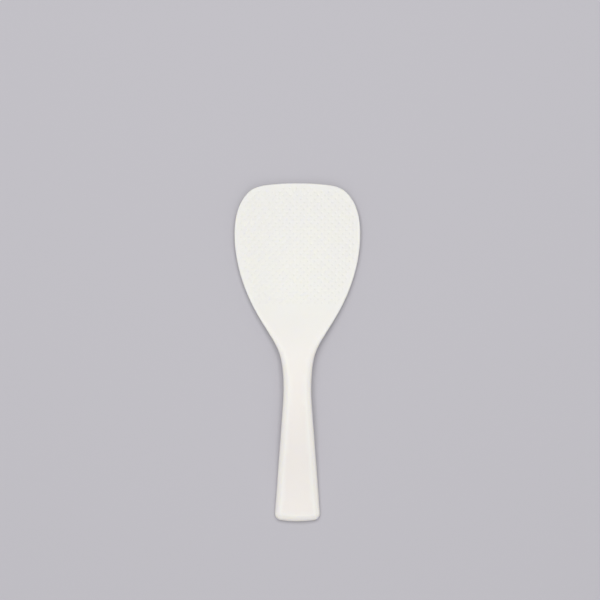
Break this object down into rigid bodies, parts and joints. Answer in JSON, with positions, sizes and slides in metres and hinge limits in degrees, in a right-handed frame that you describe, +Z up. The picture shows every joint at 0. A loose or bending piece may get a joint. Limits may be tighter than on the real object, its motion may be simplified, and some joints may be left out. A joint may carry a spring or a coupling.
{
  "type": "rice paddle",
  "caption": "Plastic rice paddle: a wide, shallow blade with a blunt, rounded tip that narrows to a neck and a solid handle that widens towards its end.",
  "frame": {"origin": "on the surface that the paddle rests on, under the middle of its length and width", "axes": "+Z up out of the blade's hollow side, +Y from the handle towards the tip, +X across the blade"},
  "size_m": [0.0706, 0.19, 0.0115],
  "materials": {
    "moulded_plastic": "satin, off-white moulded polypropylene"
  },
  "bodies": {
    "root": {"rice_paddle": "moulded_plastic"}
  },
  "joints": []
}
